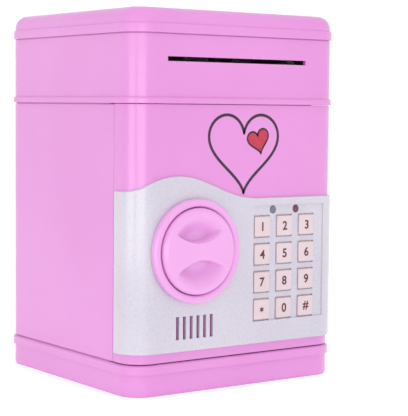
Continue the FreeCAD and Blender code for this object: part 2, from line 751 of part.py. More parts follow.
def make_gears():
    """The feed gear has a tooth towards the motor; the pinion meets it with a gap."""
    wheel = solid("wheel", involute_gear(int(size("wheel_teeth")), size("shaft_radius"), 0.0))
    place(wheel, "gear_left", "feed_y", FEED_LEVEL)
    node(wheel, "feed_gear")
    teeth = int(size("pinion_teeth"))
    pinion = solid("pinion", involute_gear(teeth, size("axle_radius"), math.pi + math.pi / teeth))
    place(pinion, "gear_left", MOTOR_Y, FEED_LEVEL)
    node(pinion, "motor_pinion")
    axle = rod("x", "axle_radius", ("gear_left - 0.5", "bracket_right + 0.2"), y=MOTOR_Y, z=FEED_LEVEL)
    node(axle, "motor_shaft")


def make_motor():
    """A small flat-sided motor on the outside of the right bracket."""
    span = ("bracket_right", "bracket_right + 13")
    can = rod("x", "6", span, y=MOTOR_Y, z=FEED_LEVEL)
    flats = box(span, (MOTOR_Y + " - 6.1", MOTOR_Y + " + 6.1"), (FEED_LEVEL + " - 5", FEED_LEVEL + " + 5"))
    bore = rod("x", "axle_radius + running", ("bracket_right", "bracket_right + 0.5"), y=MOTOR_Y, z=FEED_LEVEL)
    return node(cut(common(can, flats), bore), "feed_motor")


# ---- the door ----

def make_door_shell():
    """A shallow tray with the case's rounded corners, opening backwards, with barrels for the hinge."""
    body = new_body("door_body")
    prism(body, "0", "door_low", "door_top")
    inner = new_body("door_hollow")
    prism(inner, "-wall", "door_low + wall", "door_top - wall")
    wide = ("-case_wide", "case_wide")
    behind = box(wide, ("door_back", "case_deep"), ("0", "case_high"))
    barrel = rod("z", "barrel", ("door_low", "door_top"), "hinge_x", "hinge_y")
    seat = box(("hinge_x", "case_wide / 2"), ("hinge_y - 2 * barrel", "hinge_y"), ("door_low", "door_top"))
    clear_case = box(("-case_wide", "case_wide"), ("hinge_y + 0.001", "case_deep"), ("0", "case_high"))
    shell = cut(fuse(cut(body, behind, inner), barrel, cut(common(seat, body), clear_case)), *door_openings())
    return node(shell, "door_shell")


def door_openings():
    """What is cut from the door: the hinge's bore and knuckles, the knob's hole, the keypad and the slots."""
    tools = [pin_bore("pin_radius + running")]
    for low in ("knuckle_low", "knuckle_high"):
        span = (low + " - gap", low + " + knuckle_long + gap")
        tools.append(box(("hinge_x - barrel - gap", "case_wide"),
                         ("hinge_y - 4", "hinge_y + 2 * barrel"), span))
    tools.append(rod("y", "spindle + running", ("-case_deep / 2 - 1", "-case_deep / 2 + wall + 1"),
                     "knob_x", z="knob_z"))
    tools.append(box(("key_column - key_pitch_x - 7", "key_column + key_pitch_x + 7"),
                     ("-case_deep / 2 - 1", "-case_deep / 2 + wall + 1"),
                     ("key_bottom - 7", "led_level + 3")))
    tools.append(speaker_slots())
    return tools


def speaker_slots():
    """Six upright slots through the faceplate and the door, under the knob."""
    slots = []
    for number in range(int(size("slot_count"))):
        middle = "slot_middle + slot_pitch * %.1f" % (number - (size("slot_count") - 1) / 2)
        slots.append(box(("%s - slot_wide / 2" % middle, "%s + slot_wide / 2" % middle),
                         ("-case_deep / 2 - 3", "-case_deep / 2 + wall + 0.01"), ("slot_low", "slot_high")))
    return fuse(*slots)


def faceplate_outline():
    """The faceplate's front view: straight below, with a smooth rise over the knob."""
    half = size("case_wide / 2 + 2 * plate_proud")
    peak_x, peak = size("peak_x"), size("plate_peak")
    left, right = size("plate_left"), size("plate_right")
    left_foot, right_foot = peak_x - 31, peak_x + 50
    rise = [Vector(left_foot, 0, left),
            Vector((left_foot + peak_x) / 2 - 3.5, 0, left + 0.52 * (peak - left)),
            Vector(peak_x, 0, peak),
            Vector(peak_x + 21, 0, right + 0.52 * (peak - right)),
            Vector(right_foot, 0, right)]
    curve = Part.BSplineCurve()
    curve.interpolate(rise, InitialTangent=Vector(12, 0, 0), FinalTangent=Vector(14, 0, 0))
    low = size("plate_low")
    straight = [rise[-1], Vector(half, 0, right), Vector(half, 0, low), Vector(-half, 0, low),
                Vector(-half, 0, left), rise[0]]
    wire = Part.Wire([curve.toShape()] + Part.makePolygon(straight).Edges)
    return Part.Face(wire).extrude(Vector(0, size("-case_deep"), 0))


def on_plate_rim(edge):
    """True for an edge round the outside of the faceplate's skin, but not where its flats meet its corners."""
    upright = edge.BoundBox.ZLength > size("plate_right - plate_low") - 0.1
    ends = (size("plate_left_end"), size("plate_right_end"))
    at_end = any(abs(edge.BoundBox.YMax - end) < 0.01 for end in ends)
    return beyond(edge, "plate_proud") and (at_end or not upright)


def make_faceplate():
    """The pale plate that wraps both front corners of the door."""
    outer = new_body("plate_outer")
    prism(outer, "plate_proud", "plate_low", "plate_peak + 1")
    inner = new_body("plate_inner")
    prism(inner, "0", "plate_low", "plate_peak + 1")
    outline = solid("plate_outline", faceplate_outline())
    left_end = box(("-case_wide", "0"), ("plate_left_end", "case_deep"), ("0", "case_high"))
    right_end = box(("-1", "case_wide"), ("plate_right_end", "case_deep"), ("0", "case_high"))
    skin = rounded_edges(common(cut(outer, inner, left_end, right_end), outline), "plate_round", on_plate_rim)
    front, back = "-case_deep / 2 - plate_proud", "-case_deep / 2"
    recess = box(("key_column - key_pitch_x - 5.6", "key_column + key_pitch_x + 11.5"),
                 (front, front + " + recess"), ("key_bottom - 6", "led_level + 2.4"))
    tools = [recess, speaker_slots(),
             rod("y", "spindle + 0.4", (front, back), "knob_x", z="knob_z")]
    for x, z in key_places():
        tools.append(box(middle_span(x, "key_wide / 2 + key_side_gap"), (front, back),
                         middle_span(z, "key_high / 2 + key_end_gap")))
    for x in lamp_places():
        tools.append(rod("y", "led_radius", (front, back), x, z="led_level"))
    return node(cut(skin, *tools), "faceplate")


def make_knob_ring():
    """The raised ring on the faceplate around the knob."""
    front = "-case_deep / 2 - plate_proud - ring_deep"
    span = (front, "-case_deep / 2 - plate_proud")
    ring = cut(rod("y", "ring_radius", span, "knob_x", z="knob_z"),
               rod("y", "knob_radius + 0.6", span, "knob_x", z="knob_z"))
    return node(rounded_edges(ring, "1.4", at_y(front)), "knob_ring")


def key_places():
    """The middles of the twelve keys, left to right in each row, from the top row down."""
    return [("key_column + key_pitch_x * (%d)" % column, "key_bottom + key_pitch_z * %d" % row)
            for row in (3, 2, 1, 0) for column in (-1, 0, 1)]


def lamp_places():
    return ["key_column - 7.4", "key_column + 7.8"]


KEY_NAMES = ["1", "2", "3", "4", "5", "6", "7", "8", "9", "star", "0", "hash"]


def make_key(x, z, label):
    """A key with a flange behind the faceplate, built about its own middle and then placed."""
    body = new_body("key")
    flange = new_sketch(body, "XZ_Plane", "0")
    rounded_rectangle(flange, middle_span("0", "key_wide / 2 + key_flange"),
                      middle_span("0", "key_high / 2 + key_flange"), "1")
    pad(body, flange, "0.9")
    cap = new_sketch(body, "XZ_Plane", "0.9")
    rounded_rectangle(cap, middle_span("0", "key_wide / 2"), middle_span("0", "key_high / 2"), "0.8")
    pad(body, cap, "0.2 + plate_proud - recess + key_proud")
    face = size("-(1.1 + plate_proud - recess + key_proud)")
    soften(body, "0.5", lambda edge: edge.BoundBox.YMax < face + 0.01)
    place(body, x, "-case_deep / 2 + 1.1", z)
    return node(body, label)


def make_keys():
    for (x, z), name in zip(key_places(), KEY_NAMES):
        make_key(x, z, "key_" + name)


BOARD_FRONT = "-case_deep / 2 + 3.6"


def make_keypad_board():
    """The circuit board behind the keys, with the two lamps' seats."""
    board = box(("key_column - key_pitch_x - 9", "key_column + key_pitch_x + 9"),
                (BOARD_FRONT, BOARD_FRONT + " + board_thick"), ("key_bottom - 10", "led_level + 6"))
    board_back = BOARD_FRONT + " + board_thick"
    chip = box(("key_column - 6", "key_column + 6"), (board_back, board_back + " + 1.8"),
               ("key_bottom + 8", "key_bottom + 24"))
    return node(fuse(board, chip), "keypad_board")


def make_keypad_mat():
    """The rubber sheet on the board with a dome under each key."""
    mat = box(("key_column - key_pitch_x - 6.8", "key_column + key_pitch_x + 6.8"),
              (BOARD_FRONT + " - 0.8", BOARD_FRONT), ("key_bottom - 6.8", "led_level - 3"))
    top = "-case_deep / 2 + 1.1 + key_travel + 0.05"
    domes = [cone("y", "2.6", "3.6", (top, BOARD_FRONT + " - 0.8"), x, z=z) for x, z in key_places()]
    return node(fuse(mat, *domes), "keypad_mat")


def make_lamps():
    front = "-case_deep / 2 - plate_proud + recess - 0.3"
    for x, label in zip(lamp_places(), ("ready_lamp", "alarm_lamp")):
        stem = rod("y", "led_radius - 0.05", (front + " + 0.9", BOARD_FRONT), x, z="led_level")
        dome = rod("y", "led_radius - 0.05", (front, front + " + 1"), x, z="led_level")
        node(fuse(stem, rounded_edges(dome, "0.8", at_y(front))), label)


def make_speaker():
    front = "-case_deep / 2 + wall"
    level = "(slot_low + slot_high) / 2"
    rim = rod("y", "speaker_radius", (front, front + " + 1.6"), "slot_middle", z=level)
    basket = cone("y", "speaker_radius - 2", "7", (front + " + 1.6", front + " + 5"), "slot_middle", z=level)
    magnet = rod("y", "6", (front + " + 5", front + " + 8"), "slot_middle", z=level)
    return node(fuse(rim, basket, magnet), "speaker")


COVER_FRONT = "door_back - 2"


def cover_screw_places():
    x, z = "case_wide / 2 - cover_inset", "(door_top - door_low) / 2 - cover_inset / 2"
    middle = "(door_top + door_low) / 2"
    return [("-(%s)" % x, "%s + %s" % (middle, z)), (x, "%s + %s" % (middle, z)),
            ("-(%s)" % x, "%s - (%s)" % (middle, z)), (x, "%s - (%s)" % (middle, z))]


def make_door_cover():
    """The inner cover that closes the back of the door."""
    plate = box(("-case_wide / 2 + wall + ease", "hinge_x - barrel - barrel_free"),
                (COVER_FRONT, "door_back"), ("door_low + wall + ease", "door_top - wall - ease"))
    shaft = rod("y", "cam_shaft + gap", (COVER_FRONT, "door_back"), "knob_x", z="knob_z")
    posts = [rod("y", "cover_post", ("-case_deep / 2 + wall", COVER_FRONT), x, z=z)
             for x, z in cover_screw_places()]
    bores = [rod("y", "cover_shank", (COVER_FRONT + " - 6", "door_back"), x, z=z)
             for x, z in cover_screw_places()]
    return node(cut(fuse(plate, *posts), shaft, *bores), "door_cover")


def make_cover_screws():
    screws = []
    for x, z in cover_screw_places():
        head = rod("y", "2.5", ("door_back", "door_back + 1.2"), x, z=z)
        shank = rod("y", "cover_shank", (COVER_FRONT + " - 6", "door_back"), x, z=z)
        screws.append(fuse(head, shank))
    return node(group(*screws), "cover_screws")


# ---- the knob and the lock ----

def make_knob():
    """A disc with two half-moon scoops that leave a waisted grip, on a spindle, built about its axis."""
    front = "-knob_deep"
    behind = "case_deep / 2 + plate_proud + knob_lift + cam_front"
    disc = rounded_edges(rod("y", "knob_radius", (front, "0")), "2.2", at_y(front))
    scoops = []
    for side in ("", "-"):
        reach = rod("y", "scoop_radius", (front + " - 1", front + " + scoop_deep"))
        flank = rod("y", "scoop_curve", (front + " - 1", front + " + scoop_deep"),
                    z="%s(scoop_curve + grip_half)" % side)
        scoops.append(common(reach, flank))
    boss = rod("y", "spindle", ("0", behind))
    bore = rod("y", "screw_shank", ("3", behind))
    knob = cut(fuse(cut(disc, *scoops), boss), bore)
    place(knob, "knob_x", "-case_deep / 2 - plate_proud - knob_lift", "knob_z")
    return node(knob, "knob")


def make_lock_cam():
    """The cam with a notch for each end of the knob's turn, and the shaft behind it."""
    back = "cam_front + cam_thick"
    disc = rod("y", "cam_radius", ("cam_front", back), "knob_x", z="knob_z")
    shaft = rod("y", "cam_shaft", (back, "tongue_front"), "knob_x", z="knob_z")
    half = "plunger_radius + 0.4"
    upper = box(("knob_x - (%s)" % half, "knob_x + %s" % half), ("cam_front", back),
                ("knob_z + cam_radius - 4", "knob_z + cam_radius + 1"))
    left = box(("knob_x - cam_radius - 1", "knob_x - cam_radius + 4"), ("cam_front", back),
               ("knob_z - (%s)" % half, "knob_z + %s" % half))
    bore = rod("y", "screw_shank", ("cam_front", "tongue_front"), "knob_x", z="knob_z")
    return node(cut(fuse(disc, shaft), upper, left, bore), "lock_cam")


def make_latch_tongue():
    """The tongue hangs down when the door is free and turns to the left behind the strike."""
    span = ("tongue_front", "tongue_front + tongue_thick")
    hub = rod("y", "7", span, "knob_x", z="knob_z")
    arm = box(("knob_x - tongue_wide / 2", "knob_x + tongue_wide / 2"), span,
              ("knob_z - tongue_reach", "knob_z"))
    bore = rod("y", "screw_shank", span, "knob_x", z="knob_z")
    return node(cut(fuse(hub, arm), bore), "latch_tongue")


def make_latch_screw():
    face = "tongue_front + tongue_thick"
    head = rod("y", "3", (face, face + " + 1.6"), "knob_x", z="knob_z")
    shank = rod("y", "screw_shank", ("cam_front - 2.5", face), "knob_x", z="knob_z")
    slot = box(("knob_x - 2.2", "knob_x + 2.2"), (face + " + 0.9", face + " + 1.7"),
               ("knob_z - 0.4", "knob_z + 0.4"))
    return node(cut(fuse(head, shank), slot), "latch_screw")


PLUNGER_Y = "cam_front + cam_thick / 2"


def make_solenoid():
    coil = box(("knob_x - 8", "knob_x + 8"), (PLUNGER_Y + " - 4.4", PLUNGER_Y + " + 4.8"),
               ("coil_low", "coil_high"))
    bore = rod("z", "plunger_radius + running", ("coil_low", "coil_high"), "knob_x", PLUNGER_Y)
    return node(cut(coil, bore), "lock_solenoid")


def make_plunger():
    top = "coil_high + spring_high"
    pin = rod("z", "plunger_radius", ("plunger_low", top), "knob_x", PLUNGER_Y)
    head = rod("z", "3.4", (top, top + " + 1.2"), "knob_x", PLUNGER_Y)
    return node(fuse(pin, head), "lock_plunger")


def make_plunger_spring():
    """A coil spring that lifts the plunger out of the cam."""
    wire = 0.3
    coil_radius = 2.8
    height = size("spring_high") - 2 * wire
    helix = Part.makeHelix(height / 4, height, coil_radius)
    section = Part.Wire(Part.makeCircle(wire, Vector(coil_radius, 0, 0), Vector(0, 1, 0)))
    spring = solid("spring", Part.Wire(helix).makePipeShell([section], True, True))
    place(spring, "knob_x", PLUNGER_Y, "coil_high + %.1f" % wire)
    return node(spring, "plunger_spring")


def build():
    fill_sheet()
    make_plinth()
    make_base_plate()
    make_base_screws()
    make_body_shell()
    make_strike()
    make_hinge_pin()
    make_battery_box()
    make_battery_cover()
    make_battery_screw()
    make_cells()
    make_battery_contacts()
    make_head_housing()
    make_top_cap()
    make_coin_chute()
    make_slot_throat()
    make_note_guide()
    make_brackets()
    roller_shaft(FEED_LEVEL, "feed_shaft")
    rollers("feed_radius", FEED_LEVEL, "feed_rollers")
    roller_shaft(PINCH_LEVEL, "pinch_shaft")
    rollers("pinch_radius", PINCH_LEVEL, "pinch_rollers")
    make_gears()
    make_motor()
    make_door_shell()
    make_faceplate()
    make_knob_ring()
    make_keys()
    make_keypad_board()
    make_keypad_mat()
    make_lamps()
    make_speaker()
    make_door_cover()
    make_cover_screws()
    make_knob()
    make_lock_cam()
    make_latch_tongue()
    make_latch_screw()
    make_solenoid()
    make_plunger()
    make_plunger_spring()
    doc.recompute()


def check():
    """Stop before anything is written if an object failed or a sub-part has no sound shape."""
    for thing in doc.Objects:
        if "Invalid" in thing.State or "Error" in thing.State:
            raise RuntimeError("failed: %s %s" % (thing.Label, thing.State))
    for thing in nodes:
        shape = thing.Shape
        if shape.isNull() or not shape.isValid() or shape.Volume <= 0:
            raise RuntimeError("no sound shape: " + thing.Label)
        print("%-18s %2d solid(s) %10.1f mm3" % (thing.Label, len(shape.Solids), shape.Volume))


def write():
    os.makedirs("parts", exist_ok=True)
    for thing in nodes:
        thing.Shape.exportStep("parts/%s.step" % thing.Label)


build()
check()
write()
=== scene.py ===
"""The looks of the toy safe coin bank.

Refined mouldings, a sculpted knob, printed signs, materials, light and camera.
"""
import json
import math
import bmesh
import bpy
from mathutils import Matrix, Vector

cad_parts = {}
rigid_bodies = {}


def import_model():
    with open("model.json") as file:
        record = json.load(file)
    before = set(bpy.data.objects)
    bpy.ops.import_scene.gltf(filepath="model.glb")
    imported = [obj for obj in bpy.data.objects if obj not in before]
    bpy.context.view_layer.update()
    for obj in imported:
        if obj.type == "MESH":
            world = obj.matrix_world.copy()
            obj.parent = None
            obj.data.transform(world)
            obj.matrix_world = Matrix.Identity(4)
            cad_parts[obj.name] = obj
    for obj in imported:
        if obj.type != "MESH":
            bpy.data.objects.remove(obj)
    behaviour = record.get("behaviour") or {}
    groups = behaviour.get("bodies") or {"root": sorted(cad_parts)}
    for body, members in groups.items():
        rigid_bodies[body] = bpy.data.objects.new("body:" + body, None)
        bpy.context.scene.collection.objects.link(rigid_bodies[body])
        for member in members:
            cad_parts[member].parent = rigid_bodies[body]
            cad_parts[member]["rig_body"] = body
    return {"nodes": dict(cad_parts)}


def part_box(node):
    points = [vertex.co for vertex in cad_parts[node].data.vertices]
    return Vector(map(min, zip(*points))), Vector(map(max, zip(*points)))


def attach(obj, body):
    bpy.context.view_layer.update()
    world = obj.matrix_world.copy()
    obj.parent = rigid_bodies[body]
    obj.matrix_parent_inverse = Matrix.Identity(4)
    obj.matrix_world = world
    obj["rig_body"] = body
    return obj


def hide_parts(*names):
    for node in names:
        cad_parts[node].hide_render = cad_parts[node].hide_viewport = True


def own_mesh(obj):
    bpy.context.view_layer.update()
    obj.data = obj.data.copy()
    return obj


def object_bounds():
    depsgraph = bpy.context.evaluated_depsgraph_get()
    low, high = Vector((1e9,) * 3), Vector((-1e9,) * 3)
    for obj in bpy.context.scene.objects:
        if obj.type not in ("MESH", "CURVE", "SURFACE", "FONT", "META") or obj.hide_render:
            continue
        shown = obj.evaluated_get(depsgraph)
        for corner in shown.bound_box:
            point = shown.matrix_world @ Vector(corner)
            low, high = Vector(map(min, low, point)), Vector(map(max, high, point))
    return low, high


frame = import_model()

NODES = frame["nodes"]
CAD_LOW, CAD_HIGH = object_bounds()
MM = 0.001

# the camera, for a picture of 408 by 416: its place, where it looks, its lens and sensor in
# millimetres, and how near and far it sees in metres
CAMERA_PLACE = Vector((-431.8, -628.1, 142.3)) * MM
CAMERA_YAW = math.radians(35.93)
CAMERA_DOWN = math.radians(4.11)
CAMERA_ROLL = math.radians(0.56)
CAMERA_LENS = 121.35
CAMERA_SENSOR = 36.0
CAMERA_RANGE = (0.01, 50.0)

# an edge that turns more than SHARP is a sharp one, faces that turn less than FLAT are one face,
# and vertices nearer than WELD are one vertex
SHARP = math.radians(32)
FLAT = math.radians(0.6)
WELD = 0.002 * MM

# how wide sharp edges are rounded: on the large mouldings, beside fine steps and on the knob's ring
SHELL_EDGE = 0.3 * MM
FINE_EDGE = 0.15 * MM
RING_EDGE = 0.5 * MM
EDGE_SEGMENTS = 3

# the door's upper edge: how far it is lifted, and how deep the lifted band is
DOOR_RISE = 0.3 * MM
DOOR_BAND = 1.0 * MM

# the knob's disc: how much wider it is drawn, so that its gap to the ring reads as a fine line,
# its thickness, how much its face falls off to the rim, and the roundings in front and behind
KNOB_EASE = 0.2 * MM
KNOB_THICK = 6.6 * MM
KNOB_FALL = 1.1 * MM
KNOB_ROUNDING = 2.6 * MM
KNOB_BACK_SLOPE = 0.3 * MM
SPINDLE_RADIUS = 5.0 * MM
KNOB_RINGS = 90
KNOB_SPOKES = 192

# the knob's grip: half its width at the middle, how fast it widens outwards, and its slant
GRIP_HALF = 4.1 * MM
GRIP_FLARE = 26.0
GRIP_SLANT = math.radians(3)

# the scoops beside the grip: their depth, how far they reach, and the widths of their slopes
# at the grip and towards the rim
SCOOP_DEPTH = 5.9 * MM
SCOOP_REACH = 19.4 * MM
SCOOP_BANK = 1.5 * MM
SCOOP_RUN = 11.0 * MM

# the print: the thickness of the ink and the signs' heights on the keys
INK_THICK = 0.06 * MM
DIGIT_HEIGHT = 4.4 * MM
STAR_ARM = 1.7 * MM

# the built-in font: the share of its size that a digit is high, and how much bolder it is made
FONT_DIGIT = 0.7
FONT_BOLDER = 0.035

# the hearts on the door: the middle of the large one in X and Z, the small one's shift from it,
# and their widths and lines
HEART_STEPS = 72
HEART_MIDDLE = Vector((2.0, 119.5)) * MM
HEART_WIDTH = 44 * MM
HEART_LINE = 1.5 * MM
SMALL_HEART_SHIFT = Vector((9.5, 5.5)) * MM
SMALL_HEART_WIDTH = 13 * MM
SMALL_RIM_WIDTH = 13.6 * MM
SMALL_RIM_LINE = 0.9 * MM
SMALL_HEART_TILT = math.radians(-14)

# the stage
OBJECT_MIDDLE = (CAD_LOW + CAD_HIGH) / 2
FLOOR_REACH = 6.0
FLOOR_CELLS = 24
FLOOR_GLOW = 0.31

# the studio's brightness at the level of the eye and overhead, and where it fades, as the sine
# of the angle above the horizon
STUDIO_AT_EYE = 1.06
STUDIO_OVERHEAD = 0.72
STUDIO_FADE = (0.12, 0.5)

# where most values of a noise lie
NOISE_RANGE = (0.25, 0.75)

WHITE = (1.0, 1.0, 1.0, 1.0)


# ---- meshes ----

def add(name, data):
    """Put a new object into the scene."""
    made = bpy.data.objects.new(name, data)
    bpy.context.scene.collection.objects.link(made)
    return made


def piece(name, mesh, body, material):
    """Put a mesh into the scene, with its material, riding on a body."""
    made = add(name, mesh)
    mesh.materials.append(material)
    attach(made, body)
    return made


def finish_mesh(work, mesh):
    """Write the work into a mesh that is smooth but for its sharp edges, with no stored normals."""
    work.to_mesh(mesh)
    work.free()
    if mesh.has_custom_normals:
        mesh.attributes.remove(mesh.attributes["custom_normal"])
    for face in mesh.polygons:
        face.use_smooth = True
    mesh.set_sharp_from_angle(angle=SHARP)


def round_ridges(work, width):
    """Round the sharp edges that stick out and leave the corners inside a groove alone."""
    ridges = [edge for edge in work.edges
              if len(edge.link_faces) == 2 and edge.is_convex and edge.calc_face_angle() > SHARP]
    bmesh.ops.bevel(work, geom=ridges, offset=width, offset_type="OFFSET", profile=0.5,
                    segments=EDGE_SEGMENTS, affect="EDGES", clamp_overlap=False)


def refined(node, material, edge=SHELL_EDGE, whole=True):
    """A finer copy of a CAD node: flat faces made whole again and every ridge rounded."""
    source = NODES[node]
    mesh = source.data.copy()
    mesh.materials.clear()
    work = bmesh.new()
    work.from_mesh(mesh)
    bmesh.ops.remove_doubles(work, verts=work.verts, dist=WELD)
    if whole:
        bmesh.ops.dissolve_limit(work, angle_limit=FLAT, verts=work.verts, edges=work.edges)
    if edge:
        round_ridges(work, edge)
    finish_mesh(work, mesh)
    made = piece(node + "_skin", mesh, source["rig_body"], material)
    normals = made.modifiers.new("normals", "WEIGHTED_NORMAL")
    normals.keep_sharp = True
    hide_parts(node)
    return made


def closed_mesh(work, name):
    """Write the work into a new mesh, with its faces turned outwards."""
    bmesh.ops.recalc_face_normals(work, faces=work.faces)
    mesh = bpy.data.meshes.new(name)
    work.to_mesh(mesh)
    work.free()
    return mesh


def ribbon(points, width):
    """A flat strip of ink round a closed outline in X and Z, facing -Y at Y = 0."""
    work = bmesh.new()
    count = len(points)
    rims = []
    for index, point in enumerate(points):
        along = (points[(index + 1) % count] - points[index - 1]).normalized()
        across = Vector((-along.y, along.x)) * width / 2
        rims.append([work.verts.new((spot.x, depth, spot.y))
                     for spot in (point + across, point - across) for depth in (-INK_THICK, 0)])
    for index, here in enumerate(rims):
        there = rims[(index + 1) % count]
        for first, second in ((0, 2), (2, 3), (3, 1), (1, 0)):
            work.faces.new((here[first], here[second], there[second], there[first]))
    return closed_mesh(work, "ribbon")


def patch(points):
    """A filled flat shape of ink from a closed outline in X and Z, facing -Y at Y = 0."""
    work = bmesh.new()
    front = [work.verts.new((point.x, -INK_THICK, point.y)) for point in points]
    face = work.faces.new(front)
    grown = bmesh.ops.extrude_face_region(work, geom=[face])
    moved = [part for part in grown["geom"] if isinstance(part, bmesh.types.BMVert)]
    bmesh.ops.translate(work, verts=moved, vec=(0, INK_THICK, 0))
    return closed_mesh(work, "patch")


def heart(width):
    """Points of the usual heart curve about its middle, scaled to a width from its own of 32."""
    points = []
    for step in range(HEART_STEPS):
        turn = 2 * math.pi * step / HEART_STEPS
        x = 16 * math.sin(turn) ** 3
        z = 13 * math.cos(turn) - 5 * math.cos(2 * turn) - 2 * math.cos(3 * turn) - math.cos(4 * turn)
        points.append(Vector((x, z + 2)) * width / 32)
    return points


# ---- materials ----

def linear(*screen):
    """A colour given as it looks on screen, 0 to 255, as linear light with alpha 1."""
    def channel(value):
        value /= 255
        return value / 12.92 if value <= 0.04045 else ((value + 0.055) / 1.055) ** 2.4
    return tuple(channel(value) for value in screen) + (1.0,)


class Finish:
    """A small helper that builds one procedural material, in the frame's own metres.

    Input names are written with underscores for spaces. An input is given another node's output,
    or a plain value, which is set on the input's own socket.
    """

    def __init__(self, name):
        self.material = bpy.data.materials.new(name)
        self.material.use_nodes = True
        self.tree = self.material.node_tree
        self.shader = self.tree.nodes["Principled BSDF"]
        self.place = self.tree.nodes.new("ShaderNodeTexCoord").outputs["Object"]

    def node(self, kind, **inputs):
        made = self.tree.nodes.new(kind)
        for name, value in inputs.items():
            self.give(made.inputs[name.replace("_", " ")], value)
        return made

    def give(self, socket, value):
        if isinstance(value, bpy.types.NodeSocket):
            self.tree.links.new(value, socket)
        else:
            socket.default_value = value

    def noise(self, scale, detail=3.0):
        """A noise with so many waves to a metre."""
        made = self.node("ShaderNodeTexNoise", Vector=self.place, Scale=scale, Detail=detail)
        return made.outputs["Fac"]

    def between(self, amount, low, high):
        """Map a noise softly to a range of plain numbers."""
        made = self.node("ShaderNodeMapRange", Value=amount, To_Min=low, To_Max=high)
        made.interpolation_type = "SMOOTHERSTEP"
        made.inputs["From Min"].default_value, made.inputs["From Max"].default_value = NOISE_RANGE
        return made.outputs["Result"]

    def blend(self, amount, first, second):
        """Mix two colours by an amount from 0 to 1."""
        made = self.tree.nodes.new("ShaderNodeMix")
        made.data_type = "RGBA"
        for name, value in (("Factor_Float", amount), ("A_Color", first), ("B_Color", second)):
            socket = [s for s in made.inputs if s.identifier == name][0]
            self.give(socket, value)
        return [s for s in made.outputs if s.identifier == "Result_Color"][0]

    def bump(self, height, distance):
        made = self.node("ShaderNodeBump", Height=height, Distance=distance, Strength=1.0)
        return made.outputs["Normal"]

    def set(self, **inputs):
        for name, value in inputs.items():
            self.give(self.shader.inputs[name.replace("_", " ")], value)


def moulded(name, colour, deeper, rough=(0.285, 0.335), soft=0.0):
    """Injection-moulded plastic: a faint flow pattern, a fine skin and uneven gloss.

    rough is the range of its roughness, and soft the share of light that sinks into it.
    """
    finish = Finish(name)
    flow = finish.noise(14.0, 2.0)
    speck = finish.noise(900.0, 1.0)
    tone = finish.blend(finish.between(flow, 0.0, 1.0), colour, deeper)
    tone = finish.blend(finish.between(speck, 0.0, 0.1), tone, deeper)
    skin = finish.bump(finish.noise(1400.0, 1.0), 0.006 * MM)
    gloss = finish.between(finish.noise(60.0), *rough)
    finish.set(Base_Color=tone, Roughness=gloss, Normal=skin)
    finish.set(Subsurface_Weight=soft, Coat_Weight=0.45, Coat_Roughness=0.14)
    finish.set(Subsurface_Radius=(1.0, 0.5, 0.8), Subsurface_Scale=1.5 * MM)
    return finish.material


def pearl():
    """The faceplate's pearl white: a satin skin with fine flakes, whose glints are painted in as
    lighter specks.
    """
    finish = Finish("pearl_plate")
    flakes = finish.node("ShaderNodeTexVoronoi", Vector=finish.place, Scale=2600.0)
    flow = finish.between(finish.noise(16.0, 2.0), 0.0, 1.0)
    shade = finish.blend(flow, linear(197, 193, 205), linear(188, 184, 198))
    # painted glint: the flakes lighten the base colour towards near white
    painted_glint = finish.between(flakes.outputs["Distance"], 0.25, 0.0)
    shade = finish.blend(painted_glint, shade, linear(246, 240, 250))
    skin = finish.bump(finish.noise(1900.0), 0.012 * MM)
    gloss = finish.between(finish.noise(70.0), 0.3, 0.4)
    finish.set(Base_Color=shade, Normal=skin, Roughness=gloss)
    finish.set(Coat_Weight=0.6, Coat_Roughness=0.14, Sheen_Weight=0.1)
    return finish.material


def ink(name, colour, worn):
    """Pad-printed ink: slightly uneven, thinner in places."""
    finish = Finish(name)
    tone = finish.blend(finish.between(finish.noise(800.0), 0.0, 0.6), colour, worn)
    finish.set(Base_Color=tone, Roughness=finish.between(finish.noise(300.0), 0.35, 0.55))
    finish.set(Normal=finish.bump(finish.noise(2500.0), 0.01 * MM))
    return finish.material


def metal(name, colour, grain_scale):
    """Turned or drawn steel with fine lines, of so many waves to a metre along each axis."""
    finish = Finish(name)
    stretch = finish.node("ShaderNodeMapping", Vector=finish.place, Scale=grain_scale)
    place = stretch.outputs["Vector"]
    lines = finish.node("ShaderNodeTexNoise", Vector=place, Scale=1.0, Detail=3.0).outputs["Fac"]
    tone = finish.blend(finish.between(lines, 0.0, 0.3), colour, linear(120, 120, 124))
    finish.set(Base_Color=tone, Metallic=1.0, Roughness=finish.between(lines, 0.29, 0.4))
    finish.set(Normal=finish.bump(lines, 0.01 * MM))
    return finish.material


def rubber(name, colour, lighter):
    """Matt rubber with a dusty, pitted skin."""
    finish = Finish(name)
    dust = finish.noise(500.0, 5.0)
    tone = finish.blend(finish.between(dust, 0.0, 0.5), colour, lighter)
    finish.set(Base_Color=tone, Roughness=finish.between(dust, 0.6, 0.85))
    finish.set(Normal=finish.bump(dust, 0.03 * MM))
    return finish.material


def circuit_board():
    """A green board: solder mask over paler tracks."""
    finish = Finish("circuit")
    bricks = finish.node("ShaderNodeTexBrick", Vector=finish.place, Scale=220.0, Mortar_Size=0.06)
    tracks = bricks.outputs["Fac"]
    tone = finish.blend(tracks, linear(24, 92, 52), linear(70, 150, 88))
    finish.set(Base_Color=tone, Roughness=finish.between(finish.noise(200.0), 0.29, 0.36))
    finish.set(Normal=finish.bump(tracks, 0.03 * MM), Coat_Weight=0.4)
    return finish.material


def lamp_lens(name, colour, core):
    """A tinted lens with clouds of a second tint in it."""
    finish = Finish(name)
    tone = finish.blend(finish.between(finish.noise(900.0, 1.0), 0.0, 1.0), colour, core)
    gloss = finish.between(finish.noise(500.0), 0.06, 0.14)
    finish.set(Base_Color=tone, Roughness=gloss, Coat_Weight=0.6)
    return finish.material


